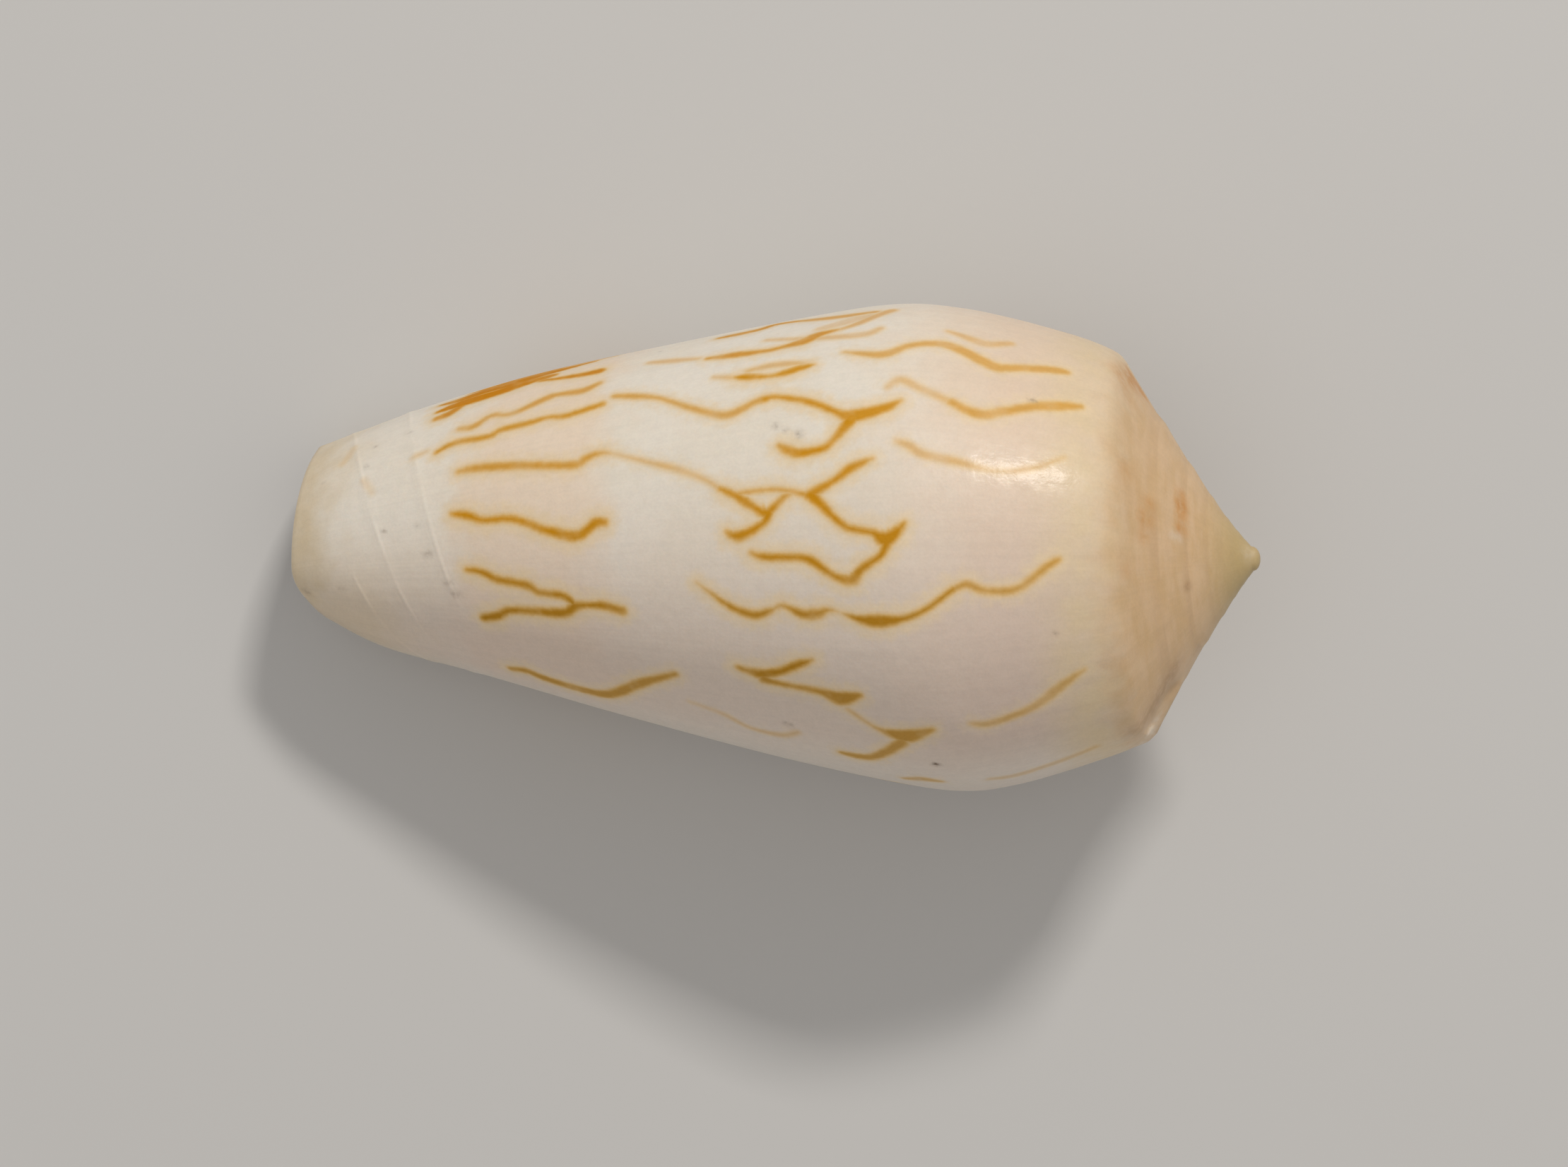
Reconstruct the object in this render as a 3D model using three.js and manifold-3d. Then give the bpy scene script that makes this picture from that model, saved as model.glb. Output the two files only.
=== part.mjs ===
// Cone shell: one solid, grown along a right-handed spiral and lying on its aperture side.
// Millimetres, +Z up, +X towards the spire. The origin is under the middle of the shell.
//
// The shell is worked out in its growth frame. A point there is given by "along", the
// distance from the apex down the coiling axis, by "radius", the distance from that axis,
// and by "turn", the growth angle in degrees. Turn 0 faces sideways (+Y), turn -90 is the
// back of the shell (+Z), and growth runs on past turn 0 to the outer lip on the underside.

import * as THREE from 'three';
import { mergeVertices } from 'three/addons/utils/BufferGeometryUtils.js';
import Module from 'manifold-3d';

const wasm = await Module();
wasm.setup();

// Growth.
const growthPerTurn = 1.44; // each whorl is this much larger than the one before it
const lipTurn = 35; // growth angle that the outer lip has reached at the shoulder
const lipBulge = 6; // degrees that the middle of the lip stands ahead of its ends
const lipSkew = -2; // degrees that its base end stands ahead of its shoulder end

// Base end.
const baseAlong = 50.75; // from the apex to the tip of the columella
const baseSlope = 0.06; // how far the base edge is cut back, per mm towards turn 0
const baseRounding = 0.6; // the same, per mm towards the opposite side

// Spire.
const rampDip = 0.15; // depth of the hollow ramp between two sutures, on the last whorl
const earlyLift = 0.92; // below 1 the early whorls stand taller than those of an even cone
const domeHeight = 0.2; // the blunt apex: a dome this high stands on the first whorl
const domeShare = 0.65; // radius of the dome's edge, as a share of the first whorl's

// A healed break: the last whorl's ramp and shoulder rise to a rim at this turn, then sink
// below the old surface and recover.
const scarTurn = -171;
const scarSpan = 24; // degrees that the rim and the sunken part each take
const scarDepth = 0.35;
const rimHeight = 0.45;
const scarReach = 0.12; // how far down the side it fades out, as a share of the side

// Hollow.
const wall = 0.85; // thickness of the shell wall
const lipWall = 0.75; // thickness at the edge of the outer lip
const thinning = 40; // degrees over which the wall thins towards the lip
const chamberSweep = 330; // degrees that the hollow runs back from the lip at the shoulder
const canalSweep = 100; // the same, at the base
const parietalGap = 0.06; // the hollow stays this far off the whorl inside it

// How the shell lies: its axis is turned and raised, and it is worn flat where it touches.
const axisYaw = 3.5;
const spireRise = 10.9;
const wornDepth = 0.2;

// Side of the last whorl from shoulder to base, as [along, radius]: at turn 0 and, point for
// point, half a turn earlier.
const newerSide = [
  [7.0, 10.5], [7.5, 11.0], [8.8, 11.63], [10.6, 12.25], [12.8, 12.9], [15.4, 13.5],
  [18.3, 13.82], [22.0, 13.52], [30.0, 12.26], [38.0, 10.8], [44.0, 9.25], [48.0, 7.95],
  [50.5, 6.8],
];
const olderSide = [
  [newerSide[0][0] / growthPerTurn ** (earlyLift / 2), newerSide[0][1] / growthPerTurn ** 0.5],
  [6.25, 9.12], [7.3, 9.6], [8.8, 10.1], [10.7, 10.68], [12.8, 11.22], [15.2, 11.55],
  [18.3, 11.22], [25.0, 9.7], [33.0, 7.45], [41.0, 5.05], [46.5, 3.5], [49.8, 1.9],
];

// Mesh resolution.
const columns = 60; // around one turn
const spireWhorls = 7;
const rowsPerWhorl = 3;
const sideRows = 26;
const chamberColumns = 32;
const chamberRows = 10;

const shellColour = 0xe9dccb;

const cosine = (turn) => Math.cos(THREE.MathUtils.degToRad(turn));
const sine = (turn) => Math.sin(THREE.MathUtils.degToRad(turn));
const { clamp, lerp } = THREE.MathUtils;
const growth = (turn) => growthPerTurn ** (turn / 360);
const steps = (count) => Array.from({ length: count + 1 }, (_, i) => i / count);
const column = (rows, index) => rows.map((row) => row.at(index));

const curveThrough = (points) =>
  new THREE.SplineCurve(points.map(([along, radius]) => new THREE.Vector2(along, radius)));
const newerCurve = curveThrough(newerSide);
const olderCurve = curveThrough(olderSide);

function place({ along, radius, turn }) {
  return new THREE.Vector3(-along, radius * cosine(turn), -radius * sine(turn));
}

// How far the surface lies below its regular place at the healed break.
function scar(turn) {
  const past = (turn - scarTurn) / scarSpan;
  if (Math.abs(past) > 1) return 0;
  return past < 0 ? -rimHeight * Math.min(1, 3 + 3 * past) : scarDepth * (1 - past) ** 2;
}

// Spire: the ramps between sutures lie on a cone, and each ramp is slightly hollow.
function spirePoint(turn, whorlsBack) {
  const [shoulderAlong, shoulderRadius] = newerSide[0];
  const scale = growth(turn - 360 * whorlsBack);
  const partOfRamp = whorlsBack - Math.floor(whorlsBack);
  const broken = whorlsBack < 1 ? scar(turn) * (1 - whorlsBack) : 0;
  const dip = rampDip * scale * Math.sin(Math.PI * partOfRamp) + broken;
  return { along: shoulderAlong * scale ** earlyLift + dip, radius: shoulderRadius * scale, turn };
}

// Where the base edge lies for a given radius and turn.
function baseEdge(radius, turn) {
  const sideways = radius * cosine(turn);
  return baseAlong - (sideways > 0 ? baseSlope : -baseRounding) * sideways;
}

// Side of a whorl: t runs from 0 at the shoulder to 1 at the base. Between the two outlines
// the size grows by a constant ratio. Towards the base the change fades out both before
// turn -180, where the whorl closes on the columella, and after turn 0, where the lip
// straightens.
function sidePoint(turn, t) {
  let halfTurnsBack = -turn / 180;
  if (halfTurnsBack > 1) halfTurnsBack = 1 + (halfTurnsBack - 1) * (1 - t);
  if (halfTurnsBack < 0) halfTurnsBack *= 1 - t;
  const outline = (share) => {
    const newer = newerCurve.getPoint(share);
    const older = olderCurve.getPoint(share);
    return {
      along: newer.x * (older.x / newer.x) ** halfTurnsBack,
      radius: newer.y * (older.y / newer.y) ** halfTurnsBack,
    };
  };
  const start = outline(0);
  const end = outline(1);
  const { along, radius } = outline(t);
  const stretch = (baseEdge(end.radius, turn) - start.along) / (end.along - start.along);
  return { along: start.along + (along - start.along) * stretch, radius, turn };
}

// The last whorl's side, with the outer lip's own outline and the healed break.
function lastSidePoint(turn, t) {
  if (t === 0) return spirePoint(turn, 0);
  const nearLip = Math.max(0, 1 - (lipTurn - turn) / 90);
  const ahead = lipBulge * Math.sin(Math.PI * t) + lipSkew * t;
  const point = sidePoint(turn + ahead * nearLip ** 2, t);
  const broken = scar(turn) * Math.max(0, 1 - t / scarReach);
  return { ...point, radius: point.radius - broken };
}

// A list of triangles that becomes one closed solid.
class Skin {
  positions = [];

  triangle(a, b, c) {
    for (const point of [a, b, c]) this.positions.push(point.x, point.y, point.z);
  }

  fan(centre, rim) {
    for (let i = 0; i + 1 < rim.length; i += 1) this.triangle(centre, rim[i], rim[i + 1]);
  }

  // Joins two rows of points of the same length.
  strip(first, second) {
    for (let i = 0; i + 1 < first.length; i += 1) {
      this.triangle(first[i], second[i + 1], second[i]);
      this.triangle(first[i], first[i + 1], second[i + 1]);
    }
  }

  strips(rows) {
    for (let i = 0; i + 1 < rows.length; i += 1) this.strip(rows[i], rows[i + 1]);
  }

  solid() {
    const geometry = new THREE.BufferGeometry();
    geometry.setAttribute('position', new THREE.Float32BufferAttribute(this.positions, 3));
    return solidOf(geometry);
  }
}

function solidOf(geometry) {
  geometry.deleteAttribute('normal');
  geometry.deleteAttribute('uv');
  const merged = mergeVertices(geometry);
  const corners = merged.index.array;
  const triangles = [];
  for (let i = 0; i < corners.length; i += 3) {
    const [a, b, c] = corners.slice(i, i + 3);
    if (a !== b && b !== c && c !== a) triangles.push(a, b, c);
  }
  return new wasm.Manifold(new wasm.Mesh({
    numProp: 3,
    vertProperties: Float32Array.from(merged.attributes.position.array),
    triVerts: Uint32Array.from(triangles),
  }));
}

function geometryOf(solid) {
  const { vertProperties, triVerts } = solid.getMesh();
  const geometry = new THREE.BufferGeometry();
  geometry.setAttribute('position', new THREE.BufferAttribute(vertProperties, 3));
  geometry.setIndex(new THREE.BufferAttribute(triVerts, 1));
  return geometry;
}

// The whole outside, with the crescent-shaped step at the lip filled in. One turn of columns
// covers the shell: a spire row that leaves the grid at the lip comes back one whorl lower.
function outside() {
  const turns = steps(columns).map((share) => lipTurn - 360 + 360 * share);
  const spireRows = steps(spireWhorls * rowsPerWhorl).map((share) =>
    turns.map((turn) => place(spirePoint(turn, spireWhorls * (1 - share)))));
  const sideRings = steps(sideRows).map((t) =>
    turns.map((turn) => place(lastSidePoint(turn, t))));
  const skin = new Skin();
  skin.strips(spireRows);
  skin.strips(sideRings);
  closeApex(skin, spireRows);
  closeLip(skin, spireRows, sideRings);
  closeBase(skin, sideRings.at(-1));
  return skin.solid();
}

// A small dome closes the open start of the spiral.
function closeApex(skin, spireRows) {
  const start = column(spireRows.slice(0, rowsPerWhorl), 0).reverse();
  const rim = [...spireRows[0], ...start];
  const dome = rim.map(({ y, z }) =>
    new THREE.Vector3(-domeHeight, y * domeShare, z * domeShare));
  skin.strip(dome, rim);
  skin.fan(new THREE.Vector3(0, 0, 0), dome.toReversed());
}

// The face at the lip, between the last whorl and the one inside it.
function closeLip(skin, spireRows, sideRings) {
  const ramp = column(spireRows.slice(-rowsPerWhorl - 1), -1);
  const outer = column(sideRings, -1);
  const inner = column(sideRings, 0);
  skin.fan(inner[1], [...ramp, outer[1]].reverse());
  skin.strip(inner.slice(1), outer.slice(1));
}

// The base end, before the canal is opened in it.
function closeBase(skin, rim) {
  const middle = new THREE.Vector3(-baseAlong - 0.1, 0, 0);
  skin.fan(middle, [...rim, rim[0]]);
}

// The hollow inside the last whorl: a crescent in section, swept back from the lip. It runs
// past the lip and past the base, so that the aperture and the canal are open.
function chamber() {
  const pastLip = 14;
  const pastBase = 2;
  const top = 0.15;
  const corner = 0.17;
  const sideStart = 0.2;
  const beyondBase = 1.2;

  const turnAt = (share, t) =>
    lipTurn + pastLip - (lerp(chamberSweep, canalSweep, Math.min(1, t)) + pastLip) * share;
  const beside = (turn, t, whorlTurn, offset) => {
    const { along, radius } = sidePoint(whorlTurn, Math.min(1, t));
    const beyond = t > 1 ? pastBase : 0;
    return place({ along: along + beyond, radius: radius + offset, turn });
  };
  const innerPoint = (turn, t) => beside(turn, t, turn - 360, parietalGap);
  const outerPoint = (turn, t) => {
    if (t === top) return innerPoint(turn, t);
    if (t === corner) return underShoulder(turn);
    return beside(turn, t, turn, -wallAt(turn));
  };

  const side = steps(chamberRows).map((share) => lerp(sideStart, 1, share));
  const heights = [top, corner, ...side, beyondBase];
  const grid = (point) => heights.map((t) =>
    steps(chamberColumns).map((share) => point(turnAt(share, t), t)));
  const outer = grid(outerPoint);
  const inner = grid(innerPoint);
  const skin = new Skin();
  skin.strips(outer.toReversed());
  skin.strips([...inner, outer.at(-1)]);
  skin.strip(column(inner, 0), column(outer, 0));
  skin.strip(column(outer, -1), column(inner, -1));
  return skin.solid();
}

const wallAt = (turn) => lerp(lipWall, wall, clamp((lipTurn - turn) / thinning, 0, 1));

// The hollow's corner under the shoulder, where ramp and side are both one wall away.
function underShoulder(turn) {
  const { along, radius } = sidePoint(turn, 0);
  return place({ along: along + 1.05 * wall, radius: radius - 0.4 * wall, turn });
}

// Lays the shell down: turned, raised, centred over the origin and worn flat where it rests.
function laidDown(solid) {
  const geometry = geometryOf(solid);
  geometry.rotateY(THREE.MathUtils.degToRad(-spireRise));
  geometry.rotateZ(THREE.MathUtils.degToRad(axisYaw));
  geometry.computeBoundingBox();
  const { min, max } = geometry.boundingBox;
  geometry.translate(-(min.x + max.x) / 2, -(min.y + max.y) / 2, -min.z - wornDepth);
  const ground = new THREE.BoxGeometry(100, 100, 10).translate(0, 0, -5);
  return solidOf(geometry).subtract(solidOf(ground));
}

function shellMesh() {
  const material = new THREE.MeshStandardMaterial({
    color: shellColour, roughness: 0.3, metalness: 0,
  });
  const solid = laidDown(outside().subtract(chamber()));
  const mesh = new THREE.Mesh(geometryOf(solid), material);
  mesh.name = 'shell';
  return mesh;
}

const coneShell = new THREE.Group();
coneShell.name = 'cone_shell';
coneShell.add(shellMesh());

export default coneShell;
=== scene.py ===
"""A cone shell lying on its aperture side, seen from above.

The shell is one mesh, grown along the same right-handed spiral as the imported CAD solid. It
is worked out in a growth frame, in millimetres: "along" is the distance from the apex down
the coiling axis, "radius" the distance from that axis, and "turn" the growth angle in
degrees. Turn 0 faces sideways (+Y), turn -90 is the back of the shell (+Z), and growth runs
on past turn 0 to the outer lip on the underside.
"""

import math

import bmesh
import bpy
import numpy as np
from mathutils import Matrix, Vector, kdtree


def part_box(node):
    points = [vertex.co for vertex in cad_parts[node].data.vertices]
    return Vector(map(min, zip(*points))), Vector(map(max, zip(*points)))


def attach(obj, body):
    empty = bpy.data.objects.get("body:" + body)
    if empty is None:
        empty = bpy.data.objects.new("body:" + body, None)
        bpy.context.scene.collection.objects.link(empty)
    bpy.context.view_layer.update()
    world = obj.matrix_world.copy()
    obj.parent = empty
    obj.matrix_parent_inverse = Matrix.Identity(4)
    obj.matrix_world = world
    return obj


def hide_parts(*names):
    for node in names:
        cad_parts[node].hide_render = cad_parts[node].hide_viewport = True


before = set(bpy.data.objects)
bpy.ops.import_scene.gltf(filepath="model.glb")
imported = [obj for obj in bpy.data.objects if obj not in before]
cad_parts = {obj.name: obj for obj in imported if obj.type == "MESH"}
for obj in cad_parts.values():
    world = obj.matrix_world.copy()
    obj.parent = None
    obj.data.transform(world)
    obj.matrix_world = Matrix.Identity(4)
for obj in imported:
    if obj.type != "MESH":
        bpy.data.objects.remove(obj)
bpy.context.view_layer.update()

MM = 0.001

# Growth, as in the CAD part.
GROWTH_PER_TURN = 1.44
LIP_TURN = 35.0
START_TURN = LIP_TURN - 360
LIP_BULGE = 6.0
LIP_SKEW = -2.0
LIP_REACH = 90            # degrees behind the lip over which its lead fades out
BASE_ALONG = 50.75
BASE_SLOPE = 0.06
BASE_ROUNDING = 0.6
BASE_EASE = 0.8           # mm over which the base's slope changes to its rounding
SEAM_EASE = 0.03          # half turns over which the side settles into one outline
EARLY_LIFT = 0.92
AXIS_YAW = 3.5
SPIRE_RISE = 10.9

# Side of the last whorl from shoulder to base, as (along, radius): at turn 0 and, point for
# point, half a turn earlier.
NEWER_SIDE = [
    (7.0, 10.5), (7.5, 11.0), (8.8, 11.63), (10.6, 12.25), (12.8, 12.9), (15.4, 13.5),
    (18.3, 13.82), (22.0, 13.52), (30.0, 12.26), (38.0, 10.8), (44.0, 9.25), (48.0, 7.95),
    (50.5, 7.05),
]
OLDER_SIDE = [
    (7.0 / GROWTH_PER_TURN ** (EARLY_LIFT / 2), 10.5 / GROWTH_PER_TURN ** 0.5),
    (6.25, 9.12), (7.3, 9.6), (8.8, 10.1), (10.7, 10.68), (12.8, 11.22), (15.2, 11.55),
    (18.3, 11.22), (25.0, 9.7), (33.0, 7.45), (41.0, 5.05), (46.5, 3.5), (49.8, 1.9),
]

# Spire and apex.
SPIRE_WHORLS = 7
STEP_DEPTH = 0.16         # how far the last ramp starts below the whorl before it
STEP_SHAPE = 0.7          # below 1, most of the step lies near the shoulder
STEP_END = 0.82           # share of the ramp after which the step closes
APEX_WORN = 0.22          # mm worn off the tip
DOME_RINGS = 5
APEX_SLIMMING = 0.2       # how much slimmer the first whorls are than an even cone
APEX_LEAN = 0.15          # mm that the worn apex leans to one side
APEX_REACH = 2.5          # mm from the axis over which it leans
APEX_DEPTH = 4.0          # mm along the axis over which it leans
BASE_BULGE = 0.1          # of the columella's tip
LIP_ROUNDING = 0.45       # how far the lip's edge bulges, as a share of its thickness
BASE_EDGE_ROUNDING = 0.08

# Wall, hollow and lip.
WALL = 0.85
LIP_WALL = 0.5
THICKENING = 25.0         # degrees over which the wall thickens, going back from the lip
HOLLOW_SWEEP = 330.0      # degrees that the hollow runs back from the lip at the shoulder
CANAL_SWEEP = 145.0       # the same, at the base
HOLLOW_TOP = 0.15         # where the hollow's ceiling meets the whorl inside it, along its side
HOLLOW_SIDE = 0.2         # where the ceiling has become the side of the hollow
DEEP_GAP = 0.3            # width of the hollow at its deep end
CORNER_DROP = 1.05        # the hollow's corner below the shoulder and inside it, in walls
CORNER_INSET = 0.4

# A healed break in the last whorl: its surface rises to a rim, drops and recovers.
SCAR_TURN = -167.0        # where the rim meets the suture
SCAR_SLANT = -7.0         # degrees further back at the shoulder
SCAR_RIM = 0.22
SCAR_DEPTH = 0.24
SCAR_SPAN = 20.0          # degrees that the rim and the sunken part each take
SCAR_REACH = 0.14         # how far down the side it fades out, as a share of the side

# Uneven growth, as (degrees between ridges, height in mm), and how much lower the ridges are
# at the base than at the shoulder.
RIPPLES = ((3.0, 0.003), (7.0, 0.008), (19.0, 0.03))
RIPPLE_FALL = 0.7
RIPPLE_MARGIN = 20        # degrees past the lip that the row of ridges goes on

# Short cords on the base, as (distance along the axis at turn 0, first turn, last turn,
# height in mm).
CORDS = ((45.2, -90, 5, 0.042), (48.3, -180, 5, 0.036), (50.6, -180, -95, 0.04))
CORD_FADE = 15.0          # degrees over which a cord fades out
CORD_SLOPE = 0.043        # mm along per degree of turn
CORD_WIDTH = 0.25
RELIEF_START = 20         # degrees over which the fine relief sets in
RELIEF_TOP = 0.05         # share of the side over which it does so below the shoulder
USUAL_RADIUS = 10.0       # mm, to turn degrees into lengths where a rough value will do

# Mesh resolution.
BACK_TURNS = (-195.0, 15.0)
BACK_COLUMN = 0.75        # degrees between columns on the back, where the markings are
BELLY_COLUMN = 1.6        # degrees between columns elsewhere
RAMP_ROWS = 5
SIDE_ROWS = 178
LIP_COLUMNS = 6           # around the rounded edge of the lip
HOLLOW_COLUMNS = 36
HOLLOW_CROWDING = 1.3     # above 1, the hollow's columns are closer together near the lip
BASE_RINGS = 4

# Ochre markings on the back, as (strength, [(along, turn, half width), ...]), with the half
# widths in hundredths of a mm.
MARKINGS = [
    # Front band
    (1, [(43, -14, 25), (41.8, -13, 60), (40.2, -13.5, 60), (39.1, -13, 60), (37.9, -12, 50),
     (36.8, -11.5, 35)]),
    (1, [(43.2, -6.5, 20), (42, -8, 50), (40.6, -7, 65), (39, -7.5, 75), (37.4, -6.5, 60),
     (36, -6, 45), (34.8, -5, 25)]),
    (0.9, [(41.8, -2, 20), (40.4, -2.5, 50), (39, -1.5, 45), (37.5, -2, 50), (35.8, -1, 35),
     (33.8, -2, 20)]),
    (0.9, [(42.9, -19.5, 30), (42.3, -19, 40), (41.6, -15.5, 32), (41, -13, 20)]),
    (0.95, [(37.4, -14, 20), (36.3, -16, 24), (35.1, -17.5, 32), (34, -18, 40)]),
    (0.75, [(41.2, -31, 21), (40.4, -32, 28), (39.5, -29, 22), (38.3, -31, 21), (36.5, -27.5, 32),
     (35.9, -27, 24), (34.5, -28, 31), (33.7, -26, 25)]),
    (0.9, [(42.3, -39.5, 17), (41.3, -37.5, 24), (39.4, -39, 23), (38.7, -37.5, 24),
     (37.1, -37.5, 24), (36.1, -37, 18), (35.1, -38, 24), (33.2, -36.5, 24)]),
    (0.85, [(40.8, -50.5, 19), (39.5, -51, 28), (36.3, -54.5, 25), (34.2, -56.5, 26),
     (33.6, -55, 24), (32.8, -54, 18), (32.1, -55, 9)]),
    (0.6, [(32.1, -55, 13), (30, -59.5, 17), (28.5, -62.5, 21), (26.9, -66.5, 16),
     (26.1, -69.5, 16)]),
    (1, [(41, -66, 16), (40.1, -67.5, 26), (39.2, -70, 21), (37.5, -71, 23), (35.7, -75.5, 26),
     (34.3, -78, 30), (33.7, -78, 30), (32.9, -75, 30), (32.4, -75, 26)]),
    (1, [(40.2, -87, 15), (39.4, -88, 22), (38.4, -91, 24), (36.8, -93, 24), (36.1, -95.5, 22),
     (34.8, -96.5, 22), (34.3, -99, 20)]),
    (1, [(39.5, -106.5, 25), (38.6, -105, 28), (37.8, -102.5, 24), (35, -102.5, 30),
     (34.2, -100, 28), (33.4, -99.5, 20), (32.6, -99.5, 26), (31.6, -101, 26)]),
    (0.85, [(38.7, -135.5, 25), (37.8, -134, 30), (36.9, -137, 33), (34.6, -139.5, 37),
     (33.3, -138, 37), (31.3, -128, 35), (29.2, -121.5, 20)]),
    (0.45, [(43.7, -39, 12), (43.4, -38.5, 18), (42.9, -37.5, 12)]),
    (0.5, [(31.2, -20, 21), (29.9, -22, 29), (28.4, -24, 18)]),
    # Middle
    (0.75, [(32.6, -34, 20), (31.4, -36, 25), (30.1, -38.5, 18), (28.3, -44, 21), (26.7, -48, 25),
     (25.9, -48.5, 29), (24.7, -46, 25), (24.2, -45.5, 31)]),
    (0.95, [(24.2, -45.5, 26), (23.6, -45.5, 20), (21.8, -48.5, 24), (20.3, -52.5, 23),
     (19.5, -54, 41), (17.9, -52.5, 32), (17.1, -50.5, 14)]),
    (1, [(19.5, -54.5, 40), (20.3, -59.5, 25), (20.9, -61.5, 25), (22.1, -62, 29), (22.7, -61, 29),
     (23.2, -59.5, 17)]),
    (1, [(26.1, -36, 12), (25.3, -37, 30), (24.3, -38, 18), (23.6, -38, 24), (22.7, -37, 30),
     (21.9, -36.5, 12)]),
    (0.55, [(25.4, -34.5, 19), (24.4, -34, 26), (23.3, -34.5, 26), (22, -36, 12)]),
    (0.5, [(27.2, -34.5, 19), (26.2, -36, 19)]),
    (0.85, [(27.9, -25, 17), (26.4, -26, 33), (24.8, -27, 24), (23.6, -26.5, 24),
     (22.7, -25.5, 43), (22, -23.5, 36), (21.1, -22.5, 19)]),
    (0.4, [(22.1, -20, 30), (21.2, -19, 45), (20.4, -17.5, 50), (19.5, -16, 30)]),
    (0.6, [(20.9, -22.5, 19), (19.9, -20, 32), (18.6, -13.5, 36)]),
    (0.5, [(24.9, -21, 20), (21.9, -25.5, 26), (19.6, -27, 32), (18.8, -25, 26)]),
    (0.85, [(27.8, -11, 24), (27, -11, 36), (26.2, -11, 36), (25.5, -10, 36), (24.9, -7.5, 36),
     (23.6, -9.5, 24)]),
    (0.7, [(23.6, -9.5, 24), (22.4, -12, 36), (20.9, -13.5, 36), (19.4, -13.5, 24)]),
    (0.9, [(25.4, -71, 19), (24.8, -70.5, 15), (23.2, -70.5, 15), (21.5, -72.5, 19)]),
    (1, [(26.2, -69, 16), (25.4, -71, 23), (24.8, -73, 27), (24.3, -74.5, 23), (23.7, -76, 26),
     (22.8, -72.5, 19), (22.4, -72, 12)]),
    (1, [(23.6, -76, 30), (23.9, -78.5, 22), (25, -81, 30), (25.5, -81, 22), (25.8, -80, 15)]),
    (0.95, [(21.5, -72.5, 31), (20.2, -69.5, 23), (19.4, -67, 28), (18.3, -65, 12)]),
    (1, [(21.4, -72.5, 34), (20.2, -78, 22), (19.5, -80.5, 22), (18.2, -82, 22), (17.5, -83.5, 40),
     (16.6, -80, 15)]),
    (1, [(17.5, -84, 33), (17.8, -87, 22), (18.8, -90, 26), (19.3, -92.5, 29), (20.2, -91.5, 22),
     (21.3, -88, 26), (22, -87, 22), (23.9, -86.5, 22), (24.5, -85.5, 15)]),
    # Lower middle
    (0.95, [(27.5, -92.5, 7), (26.2, -97.5, 18), (25.3, -100, 22), (24.4, -101, 26),
     (23.5, -99.5, 15), (23, -98.5, 15), (22, -100.5, 26), (21.3, -100.5, 30), (20.6, -99.5, 15),
     (20, -100, 7)]),
    (1, [(20, -100, 7), (19.1, -101.5, 22), (18.1, -102, 37), (16.9, -101.5, 22),
     (15.7, -99.5, 18), (14.3, -95, 18)]),
    (0.8, [(14.3, -95, 18), (13.6, -94, 22), (12.9, -95.5, 22), (11.9, -96, 22), (11, -95, 22),
     (9.7, -90, 22), (9.2, -88.5, 15)]),
    (1, [(25.7, -116.5, 16), (25.1, -117.5, 25), (24.4, -118, 33), (23.4, -116.5, 25),
     (22.6, -114.5, 28), (21.7, -112.5, 12)]),
    (0.9, [(24.4, -119.5, 33), (23.7, -120.5, 21), (21.5, -122, 26), (20.5, -123.5, 48),
     (19.5, -122, 22)]),
    (0.7, [(20.2, -127, 14), (19, -132, 15), (18, -134.5, 36)]),
    (0.85, [(18.3, -133.5, 25), (17.4, -134.5, 51), (16, -132, 20)]),
    (0.8, [(17.7, -137, 37), (19.3, -145, 32), (20.2, -146.5, 33), (21.1, -146, 20)]),
    (0.45, [(28.8, -133, 10), (27, -136.5, 16), (25.8, -141, 17), (24.2, -142, 24),
     (23.2, -139, 17)]),
    (0.65, [(14, -131, 15), (13.2, -132, 25), (11.4, -130, 24), (10.5, -128, 28),
     (9.6, -124.5, 31), (8.3, -120, 13)]),
    (0.6, [(18.2, -158, 20), (17.2, -156, 36), (16.3, -157, 19)]),
    (0.4, [(13.8, -158, 20), (12.4, -159.5, 31), (9.5, -156.5, 27), (8.4, -154.5, 25)]),
    # Near the shoulder
    (0.7, [(20.4, -33.5, 13), (18.4, -36, 31), (17.1, -33, 27), (16.1, -31.5, 28), (15, -31.5, 35),
     (12.8, -36.5, 37), (11.9, -36, 31), (9.9, -33, 33), (9.3, -32.5, 27)]),
    (0.5, [(15.3, -25, 17), (13.9, -27.5, 32), (13.2, -28, 31), (12.2, -25.5, 26)]),
    (0.5, [(17.8, -46.5, 20), (17.2, -44.5, 26), (16.1, -47, 25), (14.6, -50, 24)]),
    (0.75, [(14.6, -50, 24), (13.2, -52.5, 32), (11.9, -50.5, 28), (10.5, -47.5, 30),
     (9.4, -46, 35), (8.4, -44.5, 21)]),
    (0.55, [(17.1, -61, 17), (16.5, -62, 25), (15.8, -64, 24), (14.1, -65.5, 24), (12.2, -67, 12),
     (10.5, -65.5, 16), (9, -61.5, 12)]),
    # Base
    (0.25, [(47.6, -19.5, 22), (47.7, -23.5, 28), (48, -28, 23)]),
    (0.25, [(46.4, -43, 21), (45.8, -50, 19)]),
]

INK_SPACING = 0.06        # mm between the points that a marking is drawn with
LEAST_HALF_WIDTH = 0.05
DEGREES_PER_MM = 5.0      # roughly, round the last whorl
HALO_REACH = 1.2          # mm of softened colour round a marking
SPARSE_STEP = 5           # only every so many points of the markings count for that
HALO_NEIGHBOURS = 6
EDGE_NEIGHBOURS = 3       # points of markings that are compared to find the nearest edge
BEYOND = 9.0              # mm, for points that no marking reaches
INK_LAYERS = 4
STROKE_CLEARANCE = 1.6    # mm between the middles of strokes in the same layer

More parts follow.
